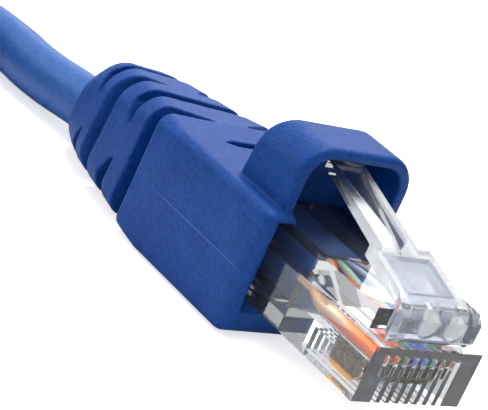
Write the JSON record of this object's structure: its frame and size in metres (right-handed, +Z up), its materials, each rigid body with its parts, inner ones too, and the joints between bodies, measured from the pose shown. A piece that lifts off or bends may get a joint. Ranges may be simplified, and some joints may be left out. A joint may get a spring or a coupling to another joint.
{
  "type": "ethernet patch cable",
  "caption": "Blue ethernet patch cable with snagless hooded boots and clear modular plugs with sprung latches, its free length lying in a coil.",
  "frame": {"origin": "on the resting surface, under the middle of the near plug and its boot", "axes": "+X along the near plug, out of its nose; +Y to the left of the plug; +Z up, on the side of the latch"},
  "size_m": [0.1167, 0.0864, 0.0171],
  "materials": {
    "clear_polycarbonate": "clear, glossy",
    "blue_pvc": "satin, fine grained",
    "gold_plate": "bright plating",
    "wire_insulation": "satin",
    "wire_white_orange": "satin",
    "wire_orange": "satin",
    "wire_white_green": "satin",
    "wire_blue": "satin",
    "wire_white_blue": "satin",
    "wire_green": "satin",
    "wire_white_brown": "satin",
    "wire_brown": "satin"
  },
  "bodies": {
    "cable": {"housing": "clear_polycarbonate", "strain_relief_bar": "clear_polycarbonate", "jacket_end": "blue_pvc", "boot": "blue_pvc", "contact_1": "gold_plate", "contact_2": "gold_plate", "contact_3": "gold_plate", "contact_4": "gold_plate", "contact_5": "gold_plate", "contact_6": "gold_plate", "contact_7": "gold_plate", "contact_8": "gold_plate", "wire_1": "wire_white_orange", "wire_2": "wire_orange", "wire_3": "wire_white_green", "wire_4": "wire_blue", "wire_5": "wire_white_blue", "wire_6": "wire_green", "wire_7": "wire_white_brown", "wire_8": "wire_brown", "cable_lead": "blue_pvc", "cable_coil": "blue_pvc", "cable_tail": "blue_pvc", "far_housing": "clear_polycarbonate", "far_strain_relief_bar": "clear_polycarbonate", "far_jacket_end": "blue_pvc", "far_boot": "blue_pvc", "far_contacts": "gold_plate", "far_wires": "wire_insulation"},
    "latch": {"latch": "clear_polycarbonate"},
    "far_latch": {"far_latch": "clear_polycarbonate"}
  },
  "joints": [
    {"name": "latch_flex", "type": "hinge", "parent": "cable", "child": "latch", "pos_m": [0.02297, 0, 0.00823], "axis": [0, -1, 0], "range_deg": [0, 14], "stiffness_Nm_per_rad": 0.25},
    {"name": "far_latch_flex", "type": "hinge", "parent": "cable", "child": "far_latch", "pos_m": [0.02297, -0.07, 0.00823], "axis": [0, -1, 0], "range_deg": [0, 14], "stiffness_Nm_per_rad": 0.25}
  ]
}
